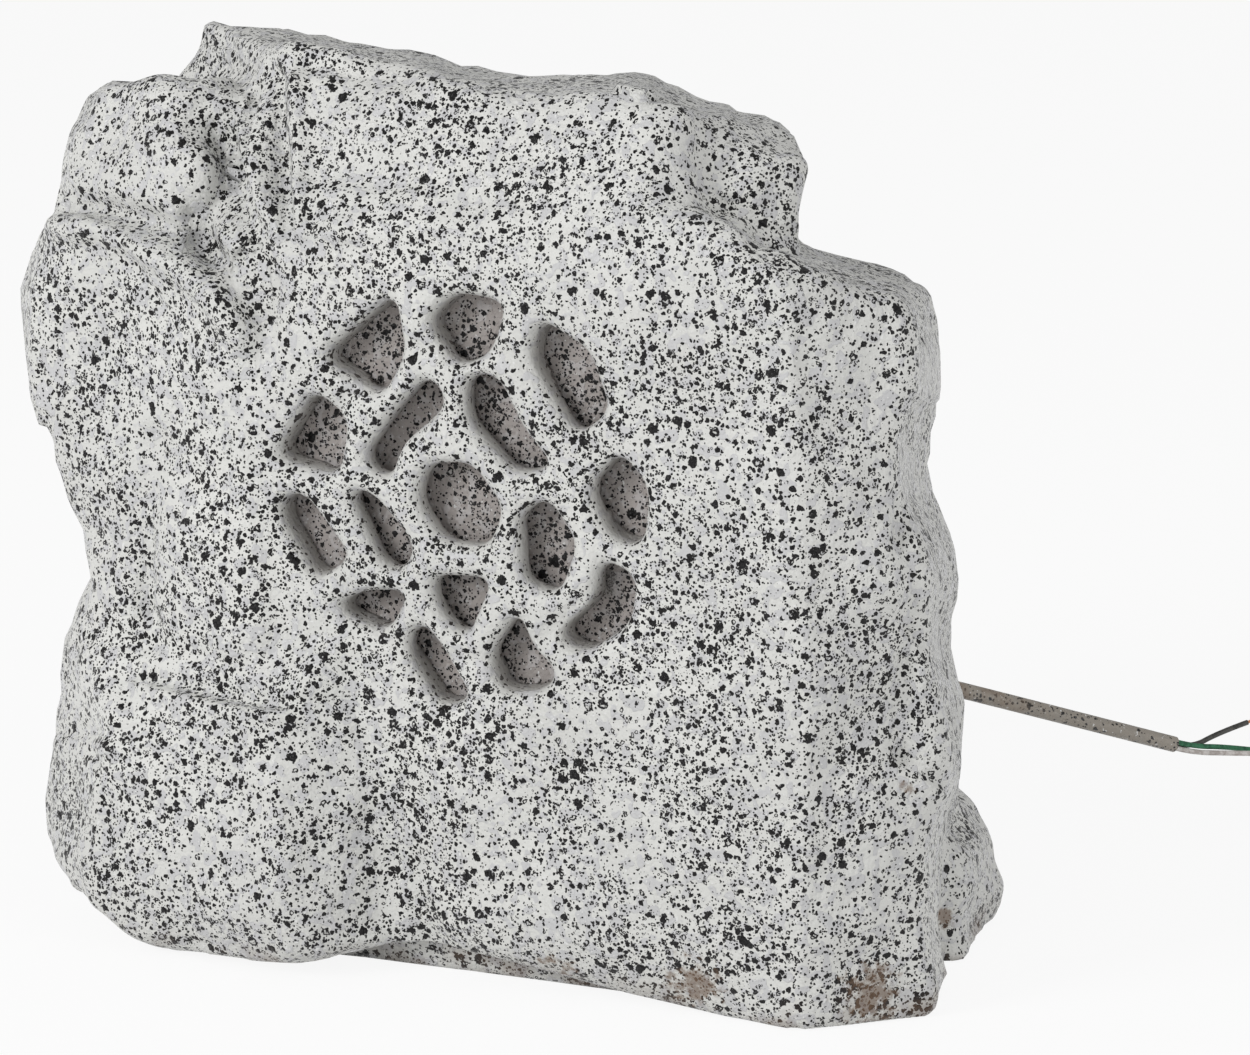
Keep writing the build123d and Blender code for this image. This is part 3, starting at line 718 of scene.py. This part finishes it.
def off_speaker_axis(tree, axes):
    """Distance from the loudspeaker's axis, of a place that is split into its axes."""
    flat = put(tree, "ShaderNodeCombineXYZ", {0: axes[0], 2: axes[2]}).outputs[0]
    return put(tree, "ShaderNodeVectorMath", {0: flat, 1: AXIS_SPOT},
               operation="DISTANCE").outputs["Value"]


def waves(tree, value, per_metre):
    """Even waves along a distance."""
    return sums(tree, "SINE", sums(tree, "MULTIPLY", value, 2 * pi * per_metre))


def refinish(name, finish):
    """Gives a CAD piece one finish in place of what it came with."""
    nodes[name].data.materials.clear()
    nodes[name].data.materials.append(finish)


print("loudspeaker's axis at", [round(v, 3) for v in AXIS_SPOT])

# %% Rock material: paint, fewer drops and painted shade in the cells, and soil at the foot
SOIL, CELL_PAINTED_SHADE = (0.17, 0.105, 0.065, 1), (0.22, 0.2, 0.185, 1)
CELL_SHADE_SHARE, EDGE_SHARE, SPOT_SHARE = 0.66, 0.45, 0.75
CELLS_RIM, SOILED_FOOT = (GRILLE_REACH - 0.006, GRILLE_REACH), (0.002, 0.016)
CELLS_START, CELLS_END = (GRILLE_CENTRE.y + 0.0005, GRILLE_CENTRE.y + 0.011), (-0.06, -0.05)
soil_spots = [((0.115, -0.110, 0.012), 0.016), ((0.178, -0.090, 0.012), 0.018),
              ((0.060, -0.110, 0.010), 0.012), ((0.186, -0.081, 0.0885), 0.005),
              ((0.1756, -0.0057, 0.0173), 0.007)]
rock_paint, tree, shader, place = new_material("rock_paint", Specular_IOR_Level=0.25)
axes = split(tree, place)
within = ramp(tree, off_speaker_axis(tree, axes), *CELLS_RIM, 1.0, 0.0)
deep = ramp(tree, axes[1], *CELLS_START)
in_front = ramp(tree, axes[1], *CELLS_END, 1.0, 0.0)
in_cell = sums(tree, "MULTIPLY", sums(tree, "MULTIPLY", within, deep), in_front)
sprayed = ramp(tree, in_cell, 0.02, 0.3, 1.0, 0.3)
paint = use(tree, granite, {"Place": place, "Black": sprayed})
# Painted shade: the walls of the cells darken towards their backs, as they would in shadow.
cell_shaded_paint = tint(tree, sums(tree, "MULTIPLY", in_cell, CELL_SHADE_SHARE), paint["Color"], CELL_PAINTED_SHADE)
low_edge = ramp(tree, axes[2], *SOILED_FOOT, 1.0, 0.0)
patchy = ramp(tree, grain(tree, place, 60, 4), 0.42, 0.66)
soil = sums(tree, "MULTIPLY", sums(tree, "MULTIPLY", low_edge, patchy), EDGE_SHARE)
for spot, reach in soil_spots:
    patch = use(tree, soil_patch, {"Place": place, "Spot": spot, "Reach": reach})["Mask"]
    soil = sums(tree, "MAXIMUM", soil, sums(tree, "MULTIPLY", patch, SPOT_SHARE))
tree.links.new(tint(tree, soil, cell_shaded_paint, SOIL), shader.inputs["Base Color"])
tree.links.new(paint["Roughness"], shader.inputs["Roughness"])
raise_skin(tree, shader, paint["Height"])
print("rock painted with", len(soil_spots), "soil spots")

# %% Bare resin inside the hollow
RESIN_DARK, RESIN_LIGHT, RESIN_GRAIN = (0.2, 0.18, 0.16, 1), (0.28, 0.26, 0.24, 1), 0.0008
bare_resin, tree, shader, place = new_material("bare_resin", Roughness=0.8)
mottle = ramp(tree, grain(tree, place, 90, 4), 0.3, 0.7)
tree.links.new(tint(tree, mottle, RESIN_DARK, RESIN_LIGHT), shader.inputs["Base Color"])
raise_skin(tree, shader, sums(tree, "MULTIPLY", grain(tree, place, 300, 3), RESIN_GRAIN))

for paint_job in (rock_paint, bare_resin):
    rock.data.materials.append(paint_job)
print("bare faces", sum(face.material_index for face in rock.data.polygons))

# %% [markdown]
# ## Screen behind the cells
#
# A fine wire screen lies flat behind the cells, and the spray went through them onto it, so the
# floors are a sandy mauve grey with the same black drops, and at one spot the bare weave shows.
# The flat CAD sheet is the right shape and stays: its weave and its sand are fine enough for bump.

# %% Screen material
WIRES_PER_METRE, WIRE_HEIGHT, SAND_HEIGHT = 900, 0.00008, 0.0009
SANDY_COAT, SANDY_BLOT, SANDY_BLACK = (0.47, 0.43, 0.41, 1), (0.56, 0.53, 0.52, 1), 0.8
WIRE_GAP_SHADE, WIRE_LIT = (0.06, 0.055, 0.05, 1), (0.42, 0.4, 0.385, 1)
WOVEN_PATCH, PATCH_REACH = (0.0742, -0.095, 0.157), 0.008
screen_paint, tree, shader, place = new_material("screen_paint")
paint = use(tree, granite, {
    "Place": place, "Coat": SANDY_COAT, "Blot": SANDY_BLOT, "Black": SANDY_BLACK})
worn_through = use(tree, soil_patch, {
    "Place": place, "Spot": WOVEN_PATCH, "Reach": PATCH_REACH})["Mask"]
wires = ramp(tree, grain(tree, place, 1400, 1), 0.35, 0.65)
# Painted light and shade: the bare weave is painted as lit wires with shaded gaps between them.
lit_and_shaded_weave = tint(tree, wires, WIRE_GAP_SHADE, WIRE_LIT)
tree.links.new(tint(tree, worn_through, paint["Color"], lit_and_shaded_weave), shader.inputs["Base Color"])
tree.links.new(paint["Roughness"], shader.inputs["Roughness"])
axes = split(tree, place)
weave = sums(tree, "MULTIPLY", *(waves(tree, axes[n], WIRES_PER_METRE) for n in (0, 2)))
weave = sums(tree, "MULTIPLY", weave, WIRE_HEIGHT)
sand = sums(tree, "MULTIPLY", grain(tree, place, 900, 3, 0.7), SAND_HEIGHT)
raise_skin(tree, shader, sums(tree, "ADD", paint["Height"], sums(tree, "ADD", sand, weave)))
refinish("grille_screen", screen_paint)
print("screen painted, wires to the metre", WIRES_PER_METRE)

# %% [markdown]
# ## Cable finish
#
# The cable was already fitted when the rock was sprayed, so its taupe sheath caught some of the
# black drops and a little brown near the rock. It uses the same granite group with a taupe coat
# and fewer drops. The cores have smooth plastic skins, the white one a little soiled.

# %% Sheath
TAUPE_COAT, TAUPE_BLOT, TAUPE_BLACK = (0.36, 0.325, 0.28, 1), (0.34, 0.31, 0.27, 1), 0.5
STAIN_SPOT, STAIN, SHEATH_RELIEF = by_gland(30, 0, 66), (0.24, 0.17, 0.12, 1), 0.4
cable_sheath, tree, shader, place = new_material("cable_sheath")
paint = use(tree, granite, {
    "Place": place, "Coat": TAUPE_COAT, "Blot": TAUPE_BLOT, "Black": TAUPE_BLACK})
from_gland = put(tree, "ShaderNodeVectorMath", {0: place, 1: STAIN_SPOT},
                 operation="DISTANCE").outputs["Value"]
stain = sums(tree, "MULTIPLY", ramp(tree, from_gland, 0.015, 0.06, 0.6, 0.0),
             ramp(tree, grain(tree, place, 120, 3), 0.4, 0.6))
tree.links.new(tint(tree, stain, paint["Color"], STAIN), shader.inputs["Base Color"])
tree.links.new(paint["Roughness"], shader.inputs["Roughness"])
raise_skin(tree, shader, sums(tree, "MULTIPLY", paint["Height"], SHEATH_RELIEF))
cable.data.materials.append(cable_sheath)
print("sheath", cable_sheath.name)

# %% Skins of the cores, soiled and clean
core_skins = {"black_core": ((0.03, 0.03, 0.028, 1), (0.075, 0.073, 0.066, 1)),
              "green_core": ((0.012, 0.10, 0.045, 1), (0.028, 0.185, 0.085, 1)),
              "white_core": ((0.50, 0.45, 0.42, 1), (0.74, 0.70, 0.67, 1))}
for name, (soiled, clean) in core_skins.items():
    skin, tree, shader, place = new_material(name + "_skin")
    wiped = ramp(tree, grain(tree, place, 420, 3), 0.35, 0.6)
    tree.links.new(tint(tree, wiped, soiled, clean), shader.inputs["Base Color"])
    tree.links.new(ramp(tree, wiped, 0.0, 1.0, 0.62, 0.4), shader.inputs["Roughness"])
    cores[name][0].data.materials.append(skin)
print("core skins", list(core_skins))

# %% [markdown]
# ## Loudspeaker and fittings
#
# Inside are a cast frame, a foam roll, a moulded cone and a magnet between steel plates, and below
# is a plastic base with its screws. Their CAD shapes are right as they are, so they only need
# finishes. One group gives the grain that castings, mouldings and foam share: a fine and a broad
# noise together set two tones and a roughness between two limits, and the fine one a height.

# %% Group: fine grain
FINE_SHARE, BROAD_SHARE, BROAD_CELLS = 0.6, 0.4, 45


def make_grain():
    """Fine grain of a casting, moulding or foam."""
    tree, given, made = new_group(
        "fine grain",
        [("Place", "Vector", None), ("Cells", "Float", 800.0),
         ("Dark", "Color", (0.1, 0.1, 0.1, 1)), ("Light", "Color", (0.2, 0.2, 0.2, 1)),
         ("Glossiest", "Float", 0.4), ("Dullest", "Float", 0.6), ("Depth", "Float", 0.0001)],
        [("Color", "Color"), ("Roughness", "Float"), ("Height", "Float")])
    fine = grain(tree, given["Place"], given["Cells"])
    broad = grain(tree, given["Place"], BROAD_CELLS, 3)
    both = sums(tree, "ADD", sums(tree, "MULTIPLY", fine, FINE_SHARE),
                sums(tree, "MULTIPLY", broad, BROAD_SHARE))
    tone = ramp(tree, both, 0.35, 0.65)
    rough = put(tree, "ShaderNodeMapRange", {
        "Value": tone, "To Min": given["Dullest"], "To Max": given["Glossiest"]}).outputs[0]
    tree.links.new(tint(tree, tone, given["Dark"], given["Light"]), made["Color"])
    tree.links.new(rough, made["Roughness"])
    tree.links.new(sums(tree, "MULTIPLY", fine, given["Depth"]), made["Height"])
    return tree


fine_grain = make_grain()
print("group", fine_grain.name)

# %% Finishes from the grain group: metal, tones, roughness limits, cells, depth and pieces
finishes = [
    ("cast_alloy", 1.0, (0.40, 0.40, 0.41), (0.56, 0.56, 0.57), 0.38, 0.58, 700, 0.00012,
     ["driver_basket"]),
    ("plated_steel", 1.0, (0.52, 0.52, 0.50), (0.66, 0.66, 0.63), 0.24, 0.40, 350, 0.00003,
     ["top_plate", "magnet_yoke", "base_screws"]),
    ("tinned_brass", 1.0, (0.60, 0.46, 0.24), (0.75, 0.62, 0.38), 0.25, 0.40, 600, 0.00003,
     ["terminal_tags"]),
    ("strand_copper", 1.0, (0.62, 0.27, 0.14), (0.80, 0.40, 0.24), 0.25, 0.42, 1500, 0.00002, []),
    ("ferrite", 0.0, (0.035, 0.035, 0.037), (0.07, 0.07, 0.072), 0.50, 0.68, 900, 0.00012,
     ["ring_magnet"]),
    ("black_foam", 0.0, (0.012, 0.012, 0.012), (0.04, 0.04, 0.039), 0.88, 1.0, 1500, 0.0006,
     ["driver_gasket", "base_gasket", "driver_surround"]),
    ("moulded_cone", 0.0, (0.016, 0.016, 0.017), (0.032, 0.032, 0.034), 0.42, 0.58, 1200, 0.0001,
     ["driver_cone"]),
    ("circuit_board", 0.0, (0.13, 0.075, 0.03), (0.24, 0.14, 0.06), 0.45, 0.62, 500, 0.00005,
     ["terminal_board"]),
    ("black_plastic", 0.0, (0.014, 0.014, 0.015), (0.032, 0.032, 0.033), 0.40, 0.56, 1600, 0.00010,
     ["terminal_plug", "base_plate", "cable_gland", "gland_nut"])]
grained = {}
for title, metal, dark, light, glossiest, dullest, cells, depth, carried in finishes:
    finish, tree, shader, place = new_material(title, Metallic=metal)
    skin = use(tree, fine_grain, {
        "Place": place, "Cells": cells, "Dark": (*dark, 1), "Light": (*light, 1),
        "Glossiest": glossiest, "Dullest": dullest, "Depth": depth})
    tree.links.new(skin["Color"], shader.inputs["Base Color"])
    tree.links.new(skin["Roughness"], shader.inputs["Roughness"])
    raise_skin(tree, shader, skin["Height"])
    grained[title] = finish
    for name in carried:
        refinish(name, finish)
for strands in copper_ends:
    strands.data.materials.append(grained["strand_copper"])
print("finishes", list(grained))

# %% Rolled cloth, and wound wire with painted light and shade on its turns
SPIDER_ROLLS, ROLL_HEIGHT, COIL_TURNS, TURN_HEIGHT = 260, 0.0008, 2400, 0.0001
CLOTH_DARK, CLOTH_LIGHT = (0.30, 0.20, 0.08, 1), (0.48, 0.35, 0.17, 1)
COIL_GROOVE_SHADE, COIL_CREST_LIGHT = (0.30, 0.10, 0.05, 1), (0.72, 0.33, 0.18, 1)
spider_cloth, tree, shader, place = new_material("spider_cloth", Roughness=0.9)
threads = ramp(tree, grain(tree, place, 1300, 2), 0.35, 0.65)
tree.links.new(tint(tree, threads, CLOTH_DARK, CLOTH_LIGHT), shader.inputs["Base Color"])
rolls = waves(tree, off_speaker_axis(tree, split(tree, place)), SPIDER_ROLLS)
raise_skin(tree, shader, sums(tree, "MULTIPLY", rolls, ROLL_HEIGHT))

wound_copper, tree, shader, place = new_material("wound_copper", Metallic=1.0)
turns = waves(tree, split(tree, place)[1], COIL_TURNS)
# Painted light and shade: each turn is lighter on its crest and darker in the groove beside it.
lit = ramp(tree, turns, -1.0, 1.0)
tree.links.new(tint(tree, lit, COIL_GROOVE_SHADE, COIL_CREST_LIGHT), shader.inputs["Base Color"])
tree.links.new(ramp(tree, turns, -1.0, 1.0, 0.5, 0.3), shader.inputs["Roughness"])
raise_skin(tree, shader, sums(tree, "MULTIPLY", turns, TURN_HEIGHT))
refinish("driver_spider", spider_cloth)
refinish("voice_coil", wound_copper)
print("cloth and coil", spider_cloth.name, wound_copper.name)

# %% [markdown]
# ## Studio
#
# The picture has soft light from the upper left, a white ground and hardly any shadow. The lamps
# stay at a plain level, and the white comes from the floor and the sky as the camera sees them.

# %% Floor
bpy.context.scene.view_settings.view_transform = "Standard"
FLOOR_SIZE, FLOOR_WHITE, FLOOR_GLOW = 12, (0.9, 0.9, 0.9, 1), 0.9
floor_mesh = bpy.data.meshes.new("floor")
floor_mesh.from_pydata([(x * FLOOR_SIZE, y * FLOOR_SIZE, 0) for x, y in
                        [(-1, -1), (1, -1), (1, 1), (-1, 1)]], [], [(0, 1, 2, 3)])
floor = bpy.data.objects.new("floor", floor_mesh)
bpy.context.scene.collection.objects.link(floor)
floor_paint = bpy.data.materials.new("floor_paint")
floor_paint.use_nodes = True
tree = floor_paint.node_tree
tree.nodes.remove(tree.nodes["Principled BSDF"])
seen = put(tree, "ShaderNodeLightPath").outputs
seen_straight = sums(tree, "MAXIMUM", seen["Is Camera Ray"], seen["Is Glossy Ray"])
matt = put(tree, "ShaderNodeBsdfDiffuse", {"Color": FLOOR_WHITE}).outputs[0]
bright = put(tree, "ShaderNodeEmission", {"Color": (1, 1, 1, 1)}).outputs[0]
mixed = put(tree, "ShaderNodeMixShader", {
    0: sums(tree, "MULTIPLY", seen_straight, FLOOR_GLOW), 1: matt, 2: bright}).outputs[0]
tree.links.new(mixed, tree.nodes["Material Output"].inputs[0])
floor_mesh.materials.append(floor_paint)
print("floor", floor.name)

# %% Sky and lamps
SKY_LIGHT, SKY_SEEN = 0.45, 1.0
world = bpy.data.worlds.new("studio")
bpy.context.scene.world = world
world.use_nodes = True
tree = world.node_tree
seen = put(tree, "ShaderNodeLightPath").outputs
seen_straight = sums(tree, "MAXIMUM", seen["Is Camera Ray"], seen["Is Transmission Ray"])
sky = tree.nodes["Background"].inputs
tree.links.new(ramp(tree, seen_straight, 0.0, 1.0, SKY_LIGHT, SKY_SEEN), sky["Strength"])
sky["Color"].default_value = (1, 1, 1, 1)


def lamp(name, place, size, power):
    """Square soft box that faces the rock."""
    data = bpy.data.lights.new(name, "AREA")
    data.size, data.energy = size, power
    box = bpy.data.objects.new(name, data)
    box.location = place
    box.rotation_euler = (TARGET - Vector(place)).to_track_quat("-Z", "Y").to_euler()
    bpy.context.scene.collection.objects.link(box)


lamp("key", (-1.3, -2.2, 1.35), 1.0, 37)
lamp("fill", (2.3, -0.8, 1.0), 1.4, 13)
print("lamps", [light.name for light in bpy.data.lights])

# %% [markdown]
# ## The end
#
# The scene is brought up to date at the end.

# %% The end
bpy.context.view_layer.update()
